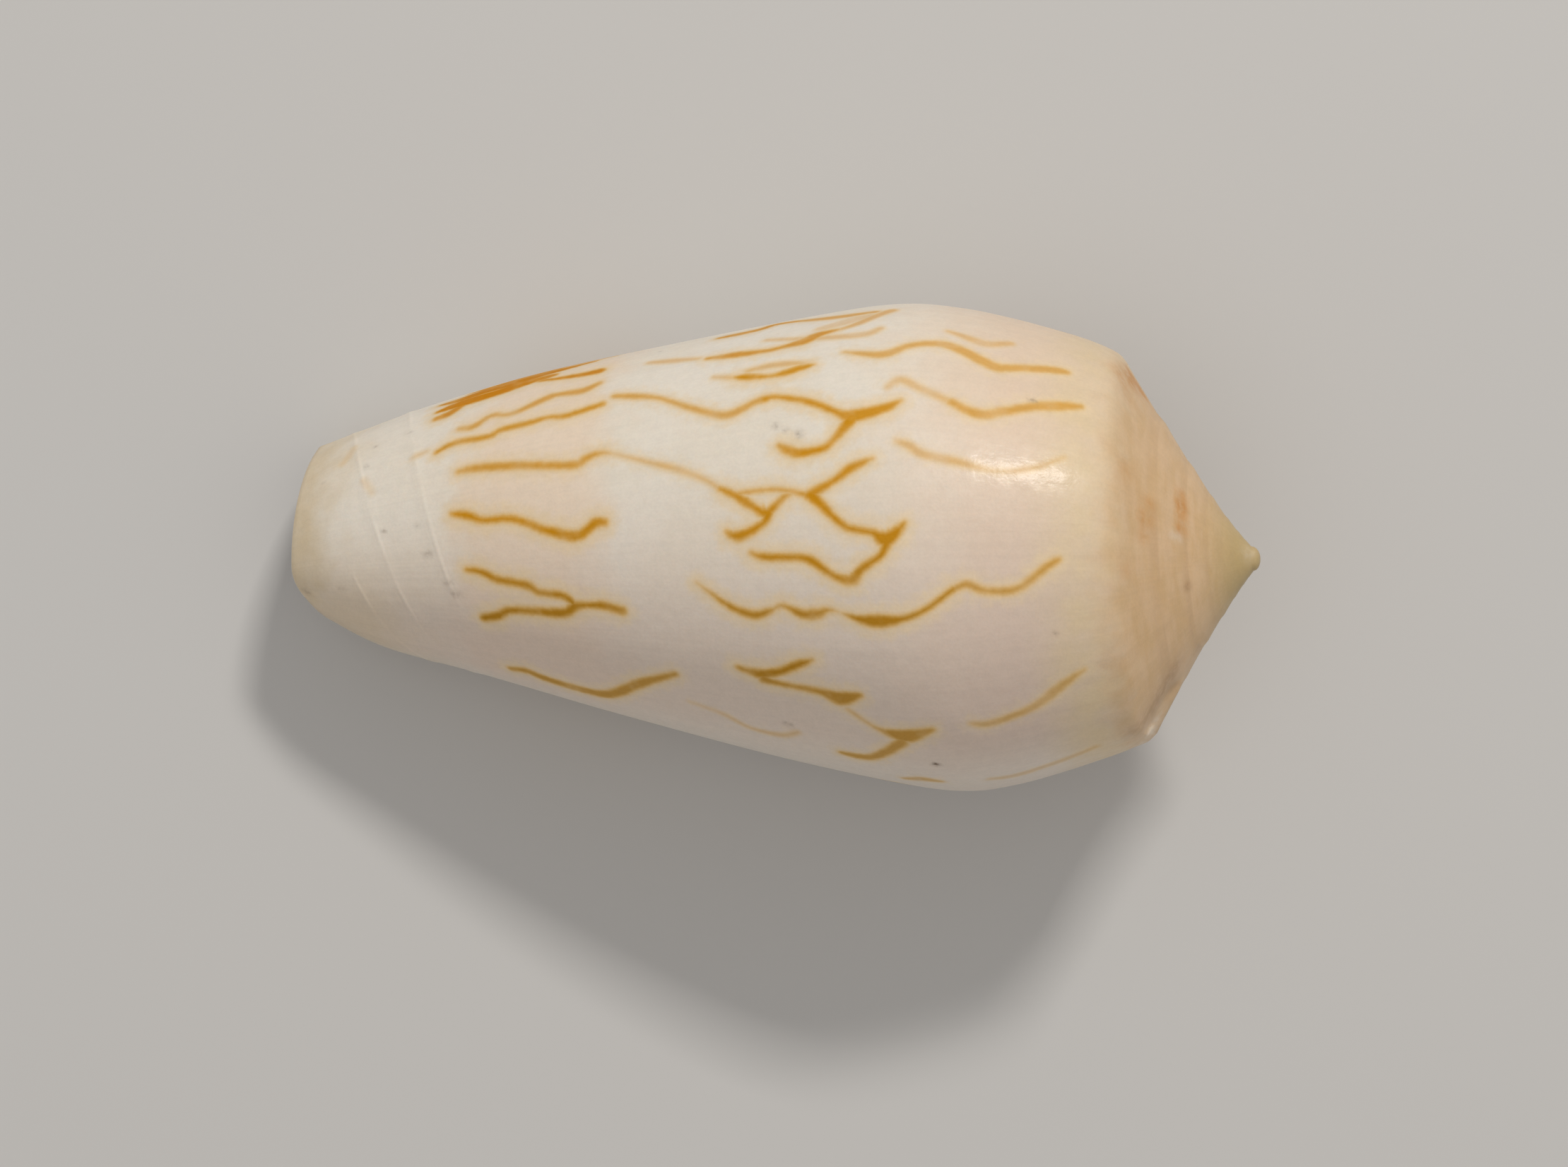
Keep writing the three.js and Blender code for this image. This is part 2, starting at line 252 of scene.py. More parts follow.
# The same kind of markings go on round the belly, from a seeded rule: for each band the
# places along the axis where its lines start and end, and how far they wander in degrees.
BELLY_BANDS = ((31.5, 43.0, 2.0), (17.0, 29.0, 5.0), (8.5, 16.5, 3.0))
BELLY_TURNS = ((-318, -172), (2, 32))
BELLY_SPACING = 11.0      # degrees between lines
BELLY_SHARE = 0.8         # of the places for a line that have one
BELLY_STEP = 1.6          # mm between the points of a line
BELLY_HALF_WIDTH = (0.14, 0.26)

# Stains and patches of colour on the spire, as (along, radius, turn, size in mm, strength).
STAINS_AND_PATCHES = {"orange_stain": [
    (3.8, 5.2, -48, 0.35, 0.9), (3.8, 5.2, -56, 0.4, 1.5), (3.8, 5.2, -63, 0.35, 1.0),
    (3.8, 5.2, -71, 0.35, 1.2), (5.2, 7.5, -66, 0.4, 0.8), (5.3, 7.6, -73, 0.45, 1.1),
    (5.4, 7.7, -80, 0.4, 0.6), (6.5, 9.6, -13, 0.7, 1.2), (6.9, 10.2, -20, 0.7, 0.7),
    (6.4, 9.5, -5, 0.7, 1.6), (6.0, 8.9, -3, 0.6, 1.4), (6.3, 9.4, -26, 0.7, 0.4),
    (6.2, 9.0, -60, 0.7, 0.4), (6.1, 9.0, -92, 0.5, 0.3),
], "brown_patch": [
    # darker brown along the healed break's sunken band, and two small spots
    (4.3, 6.0, -147, 0.7, 0.35), (4.7, 6.6, -151, 0.8, 0.45), (5.1, 7.2, -154, 0.85, 0.5),
    (5.6, 8.0, -156, 0.85, 0.5), (6.1, 8.9, -155, 0.85, 0.4), (6.6, 9.6, -153, 0.9, 0.25),
    (4.6, 6.6, -120, 0.3, 0.4), (3.55, 4.8, -104, 0.3, 0.9),
], "pale_patch": [
    # paler on the healed break's raised rim, on the worn tip, and at one small spot
    (5.4, 8.0, -170, 0.4, 0.8), (5.9, 8.6, -172, 0.45, 0.9), (6.4, 9.1, -175, 0.5, 0.6),
    (0.7, 0.9, -60, 0.5, 0.3), (3.95, 5.5, -76, 0.3, 0.8),
]}

# Specks and pits, as (along, turn, size in mm, depth in mm, strength).
SPECKS = [
    (10.7, -45.8, 0.13, 0.05, 1.3), (16.2, -146.1, 0.17, 0.06, 1.3),
    (23.6, -136.0, 0.22, 0.02, 0.54), (9.5, -108.0, 0.12, 0.01, 0.54),
    (23.5, -54.0, 0.2, 0.02, 0.41), (22.9, -55.5, 0.16, 0.02, 0.41),
    (22.2, -57.1, 0.24, 0.02, 0.47), (42.4, -80.3, 0.2, 0.03, 0.61),
    (41.3, -92.0, 0.16, 0.02, 0.61), (40.9, -97.0, 0.2, 0.02, 0.61),
    (47.6, -95.6, 0.15, 0.03, 0.54), (50.0, -99.1, 0.25, 0.03, 0.54),
    (48.9, -35.1, 0.1, 0.01, 0.61), (46.4, -35.5, 0.15, 0.0, 0.41),
    (44.3, -23.5, 0.15, 0.01, 0.41), (46.2, -24.7, 0.1, 0.01, 0.47),
    (44.9, -68.5, 0.1, 0.02, 0.74), (31.0, -12.0, 0.15, 0.01, 0.34),
    (27.6, -9.0, 0.2, 0.01, 0.34), (43.0, -68.0, 0.12, 0.01, 0.41),
]

# The eye looks straight down on the shell's plan.
EYE_HEIGHT = 225.0        # mm above the plan
PLAN_HEIGHT = 12.0        # mm above the floor: the height of the shell's outline
EYE_X = 0.70
EYE_Y = -2.25
EYE_ROLL = 2.36           # degrees
LENS = 100                # mm
SENSOR_WIDTH = 36         # mm

# Lamps, as (name, position in m, size in m, power in W, colour).
LAMPS = (
    ("key", (0.13, 0.37, 0.41), (0.10, 0.06), 1.5, (1, 0.965, 0.91)),
    ("fill", (-0.1, -0.1, 0.6), (0.5, 0.5), 0.35, (1, 0.97, 0.93)),
)
LAMP_AIM = (0, 0, 0.01)


# ---- growth

def smoothstep(low, high, value):
    share = np.clip((value - low) / (high - low), 0.0, 1.0)
    return share * share * (3 - 2 * share)


def growth(turn):
    return GROWTH_PER_TURN ** (turn / 360)


class Outline:
    """A uniform Catmull-Rom curve through given points, read by its share from 0 to 1."""

    def __init__(self, points):
        self.points = np.array(points)

    def at(self, share):
        last = len(self.points) - 1
        place = np.clip(share, 0, 1) * last
        index = np.minimum(np.floor(place), last - 1).astype(int)
        u = (place - index)[..., None]
        before, start, end, after = (
            self.points[np.clip(index + step, 0, last)] for step in (-1, 0, 1, 2))
        leave = (end - before) / 2
        arrive = (after - start) / 2
        return ((2 * start - 2 * end + leave + arrive) * u ** 3
                + (3 * end - 3 * start - 2 * leave - arrive) * u ** 2 + leave * u + start)


NEWER = Outline(NEWER_SIDE)
OLDER = Outline(OLDER_SIDE)


def bent(value, ease):
    """0 below 0 and the value itself above 0, changing over smoothly within the ease."""
    risen = np.clip(value + ease, 0, 2 * ease)
    return risen * risen / (4 * ease) + np.maximum(value - ease, 0)


def side_point(turn, t):
    """(along, radius) on a whorl's side: t runs from 0 at the shoulder to 1 at the base."""
    turn, t = np.broadcast_arrays(np.asarray(turn, float), np.asarray(t, float))
    halves = -turn / 180
    halves = (halves - t * bent(halves - 1 - SEAM_EASE, SEAM_EASE)
              + t * bent(-halves - SEAM_EASE, SEAM_EASE))

    def outline(share):
        newer, older = NEWER.at(share), OLDER.at(share)
        return (newer[..., 0] * (older[..., 0] / newer[..., 0]) ** halves,
                newer[..., 1] * (older[..., 1] / newer[..., 1]) ** halves)

    along, radius = outline(t)
    start_along, _ = outline(np.zeros_like(t))
    end_along, end_radius = outline(np.ones_like(t))
    sideways = end_radius * np.cos(np.radians(turn))
    edge = (BASE_ALONG - BASE_SLOPE * sideways
            - (BASE_ROUNDING + BASE_SLOPE) * bent(-sideways, BASE_EASE))
    stretch = (edge - start_along) / (end_along - start_along)
    return start_along + (along - start_along) * stretch, radius


def scar(turn, toward_suture):
    """How far the surface lies below its regular place at the healed break."""
    past = turn - SCAR_TURN - SCAR_SLANT * (1 - toward_suture)
    rim = -SCAR_RIM * smoothstep(-SCAR_SPAN, -3.0, past) * (1 - smoothstep(-3.0, 5.0, past))
    sunk = SCAR_DEPTH * smoothstep(-3.0, 6.0, past) * np.clip(1 - past / SCAR_SPAN, 0, 1) ** 2
    return rim + sunk


def ramp_point(turn, whorls_back):
    """(along, radius) on the spire, that many whorls back from the last whorl's shoulder."""
    scale = growth(turn - 360 * whorls_back)
    part = whorls_back - np.floor(whorls_back)
    step = STEP_DEPTH * scale * part ** STEP_SHAPE * (1 - smoothstep(STEP_END, 1.0, part))
    if whorls_back < 1:
        step = step + scar(turn, whorls_back) * (1 - smoothstep(0.8, 1.0, part))
    slim = 1 - APEX_SLIMMING * np.maximum(0, 1 - scale) ** 3
    return (NEWER_SIDE[0][0] * scale ** EARLY_LIFT + step, NEWER_SIDE[0][1] * scale * slim)


def place(along, radius, turn):
    """A point of the growth frame as x, y, z."""
    angle = np.radians(turn)
    return np.stack(np.broadcast_arrays(
        -along, radius * np.cos(angle), -radius * np.sin(angle)), axis=-1)


# ---- rows and columns

def side_shares():
    """Row places on the side: a few down to the hollow's ceiling, then evenly spaced."""
    fine = np.linspace(HOLLOW_TOP, 1, 2001)
    points = NEWER.at(fine)
    lengths = np.r_[0, np.cumsum(np.hypot(*np.diff(points, axis=0).T))]
    even = np.linspace(0, lengths[-1], SIDE_ROWS - LIP_COLUMNS + 1)
    top = np.linspace(0, HOLLOW_TOP, LIP_COLUMNS + 1)
    return np.r_[top, np.interp(even, lengths, fine)[1:]]


def column_turns():
    """Column places around one turn, closer together on the back."""
    back = np.arange(*BACK_TURNS, BACK_COLUMN)
    count = max(2, round((back[0] - START_TURN) / BELLY_COLUMN))
    before = np.linspace(START_TURN, back[0], count, endpoint=False)
    count = max(2, round((LIP_TURN - back[-1]) / BELLY_COLUMN))
    after = np.linspace(back[-1], LIP_TURN, count + 1)[1:]
    return np.r_[before, back, after]


SHARES = side_shares()
TURNS = column_turns()


def lip_lead(t):
    """Degrees that the lip stands ahead of its ends."""
    return LIP_BULGE * np.sin(np.pi * t) + LIP_SKEW * t


def growth_ripples(turn):
    """Uneven growth: low ridges along the shell, in mm, from a seeded row of heights."""
    random = np.random.default_rng(4)
    ripples = 0
    for spacing, height in RIPPLES:
        stops = np.arange(START_TURN - RIPPLE_MARGIN, LIP_TURN + RIPPLE_MARGIN + spacing,
                          spacing)
        heights = random.normal(0, height, len(stops))
        place_in = (turn - stops[0]) / spacing
        index = np.clip(np.floor(place_in).astype(int), 0, len(stops) - 2)
        share = smoothstep(0, 1, place_in - index)
        ripples = ripples + heights[index] * (1 - share) + heights[index + 1] * share
    return ripples


def relief(turn, t, along):
    """Height of the fine relief on the last whorl's side, in mm."""
    start = (smoothstep(START_TURN, START_TURN + RELIEF_START, turn)
             * smoothstep(0, RELIEF_TOP, t))
    height = growth_ripples(turn - lip_lead(t)) * start * (1 - RIPPLE_FALL * t)
    for cord, first, last, rise in CORDS:
        off = (along - cord - CORD_SLOPE * turn) / CORD_WIDTH
        there = (smoothstep(first - CORD_FADE, first, turn)
                 * smoothstep(last + CORD_FADE, last, turn))
        height = height + rise * np.exp(-off * off) * start * there
    for speck_along, speck_turn, size, depth, _ in SPECKS:
        around = np.radians(turn - speck_turn) * USUAL_RADIUS
        off = np.hypot(along - speck_along, around) / size
        height = height - depth * np.exp(-off * off)
    return height - scar(turn, 0) * np.maximum(0, 1 - t / SCAR_REACH)


def outer_side():
    """Turn, along and radius of the last whorl's side, a row for each share."""
    t = SHARES[:, None]
    near_lip = np.maximum(0, 1 - (LIP_TURN - TURNS[None, :]) / LIP_REACH)
    turn = TURNS[None, :] + lip_lead(t) * near_lip ** 2
    along, radius = side_point(turn, t)
    return turn, along, radius + relief(turn, t, along) * (t > 0)


def wall_at(turn):
    return LIP_WALL + (WALL - LIP_WALL) * smoothstep(0, THICKENING, LIP_TURN - turn)


def inner_side(turn, t):
    """(along, radius) of the inner face of the last whorl's wall."""
    along, radius = side_point(turn, t)
    _, within = side_point(turn - 360, t)
    return along, np.maximum(radius - wall_at(turn), within + DEEP_GAP)


def inner_corner(turn):
    """(along, radius) of the hollow's corner under the shoulder."""
    along, radius = side_point(turn, 0)
    return along + CORNER_DROP * WALL, radius - CORNER_INSET * WALL


def ceiling(turn, share):
    """(along, radius) on the hollow's ceiling, from the whorl inside it round to the side."""
    start = side_point(turn - 360, HOLLOW_TOP)
    corner = inner_corner(turn)
    end = inner_side(turn, HOLLOW_SIDE)
    return tuple(a * (1 - share) ** 2 + 2 * b * share * (1 - share) + c * share ** 2
                 for a, b, c in zip(start, corner, end))


# ---- mesh

class Skin:
    """Points and faces that become one closed mesh."""

    def __init__(self):
        self.points = []
        self.count = 0
        self.faces = []

    def add(self, points):
        points = np.asarray(points, float)
        flat = points.reshape(-1, 3)
        self.points.append(flat)
        indices = np.arange(self.count, self.count + len(flat))
        self.count += len(flat)
        return indices.reshape(points.shape[:-1])

    def strip(self, first, second):
        """Quads between two rows with the same number of points."""
        for a, b, c, d in zip(first, first[1:], second[1:], second):
            self.face(a, b, c, d)

    def grid(self, rows):
        for first, second in zip(rows, rows[1:]):
            self.strip(first, second)

    def zipped(self, first, second):
        """Triangles between two rows with different numbers of points."""
        i, j = 0, 0
        while i < len(first) - 1 or j < len(second) - 1:
            ahead = (i + 1) * (len(second) - 1) <= (j + 1) * (len(first) - 1)
            if j == len(second) - 1 or (ahead and i < len(first) - 1):
                self.face(first[i], first[i + 1], second[j])
                i += 1
            else:
                self.face(first[i], second[j + 1], second[j])
                j += 1

    def fan(self, centre, rim):
        for a, b in zip(rim, rim[1:]):
            self.face(centre, a, b)

    def face(self, *corners):
        kept = [c for i, c in enumerate(corners) if c != corners[i - 1]]
        if len(kept) > 2:
            self.faces.append([int(c) for c in kept])


def spire_rows(skin):
    """Ramp rows from the apex to the last shoulder. A row that reaches the lip's column goes
    on in the first column one whorl lower."""
    backs = np.arange(SPIRE_WHORLS * RAMP_ROWS, -1, -1) / RAMP_ROWS
    rows = []
    for back in backs:
        along, radius = ramp_point(TURNS, back)
        rows.append(place(along, radius, TURNS))
    first = [skin.add(row[:-1]) for row in rows]
    last = [skin.add(row[-1:]) for row in rows[-RAMP_ROWS:]]
    ends = [row[0] for row in first[RAMP_ROWS:]] + [end[0] for end in last]
    return [np.r_[row, end] for row, end in zip(first, ends)]


def close_apex(skin, rows):
    """A worn dome over the open start of the spiral."""
    start = [row[0] for row in rows[RAMP_ROWS - 1:0:-1]]
    rim = np.r_[rows[0], start]
    points = np.concatenate(skin.points)[rim]
    tip = np.array([-APEX_WORN, 0, 0])
    inner = rim
    for ring in range(1, DOME_RINGS):
        angle = math.pi / 2 * ring / DOME_RINGS
        across = points * [0, math.cos(angle), math.cos(angle)]
        lift = points[:, :1] + (tip[0] - points[:, :1]) * math.sin(angle)
        row = skin.add(across + lift * [1, 0, 0])
        skin.strip(np.r_[inner, inner[0]], np.r_[row, row[0]])
        inner = row
    skin.fan(skin.add(tip), np.r_[inner, inner[0]])


def sweep_at(t):
    return HOLLOW_SWEEP + (CANAL_SWEEP - HOLLOW_SWEEP) * t


def fading_lead(t, back):
    """The lip's lead, which soon fades out going back into the hollow."""
    return lip_lead(t) * (1 - back) ** 4


def hollow_rows(skin, side, t):
    """Rows of the whorl inside the hollow and of the hollow's outer face, back from the lip."""
    back = np.linspace(0, 1, HOLLOW_COLUMNS + 1) ** HOLLOW_CROWDING
    turn = LIP_TURN - sweep_at(t)[:, None] * back

    within_turn = turn[LIP_COLUMNS:]
    along, radius = side_point(within_turn - 360, t[LIP_COLUMNS:, None])
    within = skin.add(place(along, radius, within_turn)[:, 1:])
    within = np.c_[side[LIP_COLUMNS:, 0], within]

    rows = [within[0]]
    ceiling_rows = RAMP_ROWS + int(np.searchsorted(t, HOLLOW_SIDE))
    for row in range(1, ceiling_rows):
        share = row / ceiling_rows
        at_t = t[max(0, row - RAMP_ROWS)]
        row_turn = LIP_TURN - sweep_at(HOLLOW_TOP) * back + fading_lead(at_t, back)
        rows.append(skin.add(place(*ceiling(row_turn, share), row_turn)))
    for row in range(ceiling_rows - RAMP_ROWS, len(t)):
        row_turn = turn[row] + fading_lead(t[row], back)
        rows.append(skin.add(place(*inner_side(row_turn, t[row]), row_turn)))
    return within, rows


def build_points():
    skin = Skin()
    spire = spire_rows(skin)
    turn, along, radius = outer_side()
    below = skin.add(place(along, radius, turn)[1:])
    side = np.vstack([spire[-1], below])
    skin.grid(spire)
    skin.grid(side)
    close_apex(skin, spire)
    outer_count = skin.count

    within, hollow = hollow_rows(skin, side, SHARES)
    skin.grid(within)
    skin.grid(hollow)
    skin.zipped([row[-1] for row in within], [row[-1] for row in hollow])

    edge = lip_edge(skin, spire, side, hollow)
    first = int(np.searchsorted(turn[-1], LIP_TURN - CANAL_SWEEP))
    rim = base_edge(skin, side[-1], turn[-1], first, edge[-1])
    skin.zipped([row[-1] for row in rim], list(hollow[-1]))
    close_base(skin, [*side[-1][:first + 1], *rim[-1][1:], hollow[-1][-1],
                      *within[-1][:0:-1]])
    skin.outside = np.arange(skin.count) < outer_count
    return skin


def lip_edge(skin, spire, side, hollow):
    """The rounded edge of the lip, from the suture to the base."""
    outers = [row[-1] for row in spire[-RAMP_ROWS - 1:]] + [row[-1] for row in side[1:]]
    points = np.concatenate(skin.points)
    edge = [side[:LIP_COLUMNS + 1, 0]]
    for outer, row in list(zip(outers, hollow))[1:]:
        edge.append(rounded(skin, points[outer], points[row[0]], outer, row[0],
                            LIP_ROUNDING * forward_turn(points[outer])))
    skin.grid(edge)
    return edge


def base_edge(skin, base, turns, first, start):
    """The rounded edge of the base, back from the lip to the column where the canal ends."""
    points = np.concatenate(skin.points)
    rim = [start[:-1]]
    for column in range(len(TURNS) - 2, first - 1, -1):
        inner = place(*inner_side(turns[column], 1.0), turns[column])
        rim.append(rounded(skin, points[base[column]], inner, base[column], None,
                           np.array([-BASE_EDGE_ROUNDING, 0, 0]))[:-1])
    skin.grid(rim)
    return rim


def forward_turn(point):
    """Direction of growth at a point: the way the lip's edge faces."""
    _, y, z = point
    direction = np.array([0, z, -y])
    return direction / np.linalg.norm(direction)


def rounded(skin, outer_point, inner_point, outer, inner, forward):
    """Points around a half-round edge from the outer to the inner face."""
    width = np.linalg.norm(inner_point - outer_point)
    angles = np.pi * np.arange(1, LIP_COLUMNS) / LIP_COLUMNS
    across = (1 - np.cos(angles)) / 2
    points = (outer_point + across[:, None] * (inner_point - outer_point)
              + width * np.sin(angles)[:, None] * forward)
    middle = skin.add(points)
    return np.r_[outer, middle, -1 if inner is None else inner]


def close_base(skin, loop):
    """The tip of the columella, inside the rest of the base's edge."""
    points = np.concatenate(skin.points)[loop]
    centre = np.array([points[:, 0].mean(), 0, 0])
    inner = np.array(loop)
    for ring in range(1, BASE_RINGS):
        share = 1 - ring / BASE_RINGS
        bulged = centre + (points - centre) * share
        bulged[:, 0] -= BASE_BULGE * (1 - share * share)
        row = skin.add(bulged)
        skin.strip(np.r_[inner, inner[0]], np.r_[row, row[0]])
        inner = row
    tip = skin.add(centre - [BASE_BULGE, 0, 0])
    skin.fan(tip, np.r_[inner, inner[0]])


def leaned(grown):
    """Leans the worn apex a little to one side."""
    radius = np.hypot(grown[:, 1], grown[:, 2])
    lean = APEX_LEAN * np.maximum(0, 1 - radius / APEX_REACH) * (grown[:, 0] > -APEX_DEPTH)
    return grown + lean[:, None] * [0, 1, 0]


def rotated(a, b, degrees):
    cosine, sine = math.cos(math.radians(degrees)), math.sin(math.radians(degrees))
    return a * cosine - b * sine, a * sine + b * cosine


def laid_down(points):
    """Raises and turns the axis, then sets the base end, the width and the top where those of
    the CAD solid are, and wears the shell flat where it rests."""
    x, y, z = points.T
    x, z = rotated(x, z, SPIRE_RISE)
    x, y = rotated(x, y, AXIS_YAW)
    laid = np.stack([x, y, z], axis=-1)
    low, high = (np.array(corner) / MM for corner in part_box("shell"))
    base_end = low[0] - laid[:, 0].min()
    sideways = (low[1] + high[1] - laid[:, 1].min() - laid[:, 1].max()) / 2
    laid += [base_end, sideways, high[2] - laid[:, 2].max()]
    laid[:, 2] = np.maximum(laid[:, 2], low[2])
    return laid


# ---- markings

def on_side(along, turn):
    """The point of the last whorl's side at a place along the axis."""
    alongs, radii = side_point(turn, SHARES)
    return place(along, float(np.interp(along, alongs, radii)), turn)


def belly_markings():
    """Wavy lines on the belly, in the style of those on the back."""
    random = np.random.default_rng(11)
    lines = []
    for first, last in BELLY_TURNS:
        for start, end, wander in BELLY_BANDS:
            turn = first + random.uniform(0, BELLY_SPACING)
            while turn < last:
                if random.random() < BELLY_SHARE:
                    line = wavy_line(random, turn, start, end, wander)
                    lines.append((random.uniform(0.6, 1.0), line))
                turn += BELLY_SPACING * random.uniform(0.75, 1.3)
    return lines


def wavy_line(random, turn, start, end, wander):
    start = start + random.uniform(0, 2.0)
    end = end - random.uniform(0, 0.35 * (end - start))
    count = max(4, round((end - start) / BELLY_STEP))
    half_width = random.uniform(*BELLY_HALF_WIDTH)
    line = []
    for share in np.linspace(0, 1, count):
        width = half_width * random.uniform(0.7, 1.3) * (0.5 + 0.5 * math.sin(math.pi * share))
        sway = random.uniform(-wander, wander) * 0.5 + wander * 0.5 * math.sin(5 * share + turn)
        line.append((start + (end - start) * share, turn + sway, width))
    return line


def ink_strokes():
    """Each marking as close-set points, every point with its half width and strength."""
    back = [(strength, [(along, turn, width / 100) for along, turn, width in line])
            for strength, line in MARKINGS]
    strokes = []
    for strength, line in back + belly_markings():
        spots = []
        curve = Outline(line)
        length = sum(math.hypot(a[0] - b[0], (a[1] - b[1]) / DEGREES_PER_MM)
                     for a, b in zip(line, line[1:]))
        shares = np.linspace(0, 1, max(8, round(length / INK_SPACING)))
        for along, turn, width in curve.at(shares):
            spots.append((on_side(along, turn), max(width, LEAST_HALF_WIDTH), strength))
        strokes.append(spots)
    return strokes


def clear_of(stroke, others):
    """Whether a stroke lies well away from the strokes of a layer."""
    ends = np.array([spot[0] for spot in stroke[::SPARSE_STEP]])
    for other in others:
        apart = ends[:, None] - np.array([spot[0] for spot in other[::SPARSE_STEP]])
        if np.linalg.norm(apart, axis=2).min() < STROKE_CLEARANCE:
            return False
    return True


def ink_layers(strokes):
    """Strokes shared out over layers, so that those that meet or cross are drawn apart."""
    layers = [[] for _ in range(INK_LAYERS)]
    for stroke in strokes:
        free = [layer for layer in layers if clear_of(stroke, layer)]
        (free or layers[-1:])[0].append(stroke)
    return [[spot for stroke in layer for spot in stroke] for layer in layers]


def tree_of(spots):
    tree = kdtree.KDTree(len(spots))
    for index, spot in enumerate(spots):
        tree.insert(spot[0], index)
    tree.balance()
    return tree


def nearest(grown, outside, spots):
    """For each outer point: the way from the spot whose edge is nearest, how far off that
    edge is, and which spot it is."""
    tree = tree_of(spots)
    way = np.full((len(grown), 3), BEYOND)
    distance = np.full(len(grown), BEYOND)
    which = np.zeros(len(grown), int)
    for point in np.flatnonzero(outside):
        distance[point], which[point] = min(
            (gap - spots[index][1], index) for _, index, gap
            in tree.find_n(grown[point], EDGE_NEIGHBOURS))
        way[point] = grown[point] - spots[which[point]][0]
    return way, distance, which


def halos(grown, outside, spots):
    """For each outer point: how far it lies within the soft edge round the markings."""
    spots = spots[::SPARSE_STEP]
    tree = tree_of(spots)
    halo = np.zeros(len(grown))
    for point in np.flatnonzero(outside):
        halo[point] = max(
            spots[index][2] * max(0.0, 1 - max(0.0, gap - spots[index][1]) / HALO_REACH)
            for _, index, gap in tree.find_n(grown[point], HALO_NEIGHBOURS))
    return smoothstep(0, 1, halo)


def blob_values(grown, blobs):
    """Sum of soft round blobs, each given as (centre, size, strength)."""
    value = np.zeros(len(grown))
    for centre, size, strength in blobs:
        off = np.linalg.norm(grown - centre, axis=1) / size
        value += strength * np.exp(-off * off)
    return value


def store(mesh, name, values):
    kind, key = ("FLOAT_VECTOR", "vector") if values.ndim == 2 else ("FLOAT", "value")
    layer = mesh.attributes.new(name, kind, "POINT")
    layer.data.foreach_set(key, values.astype(np.float32).ravel())


def paint(mesh, skin, grown):
    """Stores what the material needs to know at each point."""
    store(mesh, "grown", grown)
    strokes = ink_strokes()
    inks = [spot for stroke in strokes for spot in stroke]
    store(mesh, "ink_halo", halos(grown, skin.outside, inks))
    for number, spots in enumerate(ink_layers(strokes)):
        way, distance, which = nearest(grown, skin.outside, spots)
        sizes, strengths = np.array([spot[1:] for spot in spots]).T
        store(mesh, f"ink{number}_way", way)
        store(mesh, f"ink{number}_distance", distance)
        store(mesh, f"ink{number}_size", sizes[which])
        store(mesh, f"ink{number}_strength", strengths[which])
    specks = [(on_side(along, turn), size, strength)
              for along, turn, size, _, strength in SPECKS]
    store(mesh, "speck", blob_values(grown, specks))
    for name, stains in STAINS_AND_PATCHES.items():
        blobs = [(place(along, radius, turn), size, amount)
                 for along, radius, turn, size, amount in stains]
        store(mesh, name, blob_values(grown, blobs))
    store(mesh, "inside", (~skin.outside).astype(float))


# ---- material

class Nodes:
    """Short calls for building a node tree."""

    def __init__(self, tree):
        self.tree = tree

    def add(self, kind, inputs=(), **settings):
        node = self.tree.nodes.new(kind)
        for name, value in settings.items():
            setattr(node, name, value)
        for key, value in dict(inputs).items():
            self.feed(node.inputs[key], value)
        return node

    def feed(self, socket, value):
        if isinstance(value, bpy.types.NodeSocket):
            self.tree.links.new(value, socket)
        else:
            socket.default_value = value

    def math(self, operation, a, b=0.0):
        return self.add("ShaderNodeMath", {0: a, 1: b}, operation=operation).outputs[0]

    def ramp(self, value, low, high, start=0.0, end=1.0):
        """Smooth step of value from low to high, giving start to end."""
        return self.add("ShaderNodeMapRange",
                        {"Value": value, "From Min": low, "From Max": high,
                         "To Min": start, "To Max": end},
                        interpolation_type="SMOOTHSTEP").outputs[0]

    def mix(self, factor, first, second, blend="MIX"):
        node = self.add("ShaderNodeMix", data_type="RGBA", blend_type=blend)
        self.feed(node.inputs[0], factor)
        self.feed(node.inputs[6], first)
        self.feed(node.inputs[7], second)
        return node.outputs[2]

    def value(self, name):
        return self.add("ShaderNodeAttribute", attribute_name=name).outputs["Fac"]

    def vector(self, name):
        return self.add("ShaderNodeAttribute", attribute_name=name).outputs["Vector"]

    def noise(self, vector, scale, detail=2.0, roughness=0.5):
        return self.add("ShaderNodeTexNoise", {
            "Vector": vector, "Scale": scale, "Detail": detail, "Roughness": roughness,
        }).outputs["Fac"]

    def length(self, vector):
        return self.add("ShaderNodeVectorMath", {0: vector}, operation="LENGTH").outputs["Value"]

    def combine(self, x, y, z):
        return self.add("ShaderNodeCombineXYZ", {0: x, 1: y, 2: z}).outputs[0]

    def split(self, vector):
        return tuple(self.add("ShaderNodeSeparateXYZ", {0: vector}).outputs)

    def multiply(self, first, *others):
        for other in others:
            first = self.math("MULTIPLY", first, other)
        return first

    def total(self, first, *others):
        for other in others:
            first = self.math("ADD", first, other)
        return first

    def minus(self, first, second):
        return self.math("SUBTRACT", first, second)

    def grey(self, value):
        return self.add("ShaderNodeCombineColor", {0: value, 1: value, 2: value}).outputs[0]


CREAM = (0.84, 0.765, 0.655, 1)
WARM_WHITE = (0.85, 0.785, 0.69, 1)
PEACH = (0.86, 0.69, 0.53, 1)
PINK = (0.79, 0.605, 0.45, 1)
LILAC_TINT_AND_SHADE = (0.71, 0.56, 0.465, 1)
STRAW = (0.76, 0.60, 0.39, 1)
RIM_TAN = (0.70, 0.56, 0.36, 1)
SPIRE_TAN = (0.655, 0.425, 0.21, 1)
APEX_TAN = (0.50, 0.36, 0.15, 1)
SPIRE_PINK = (0.715, 0.485, 0.28, 1)
SUTURE_SHADE = (0.56, 0.36, 0.19, 1)
HALO = (0.84, 0.66, 0.42, 1)
INK_PALE = (0.77, 0.49, 0.15, 1)
INK_DEEP = (0.63, 0.235, 0.0, 1)
INK_ORANGE = (0.64, 0.285, 0.010, 1)
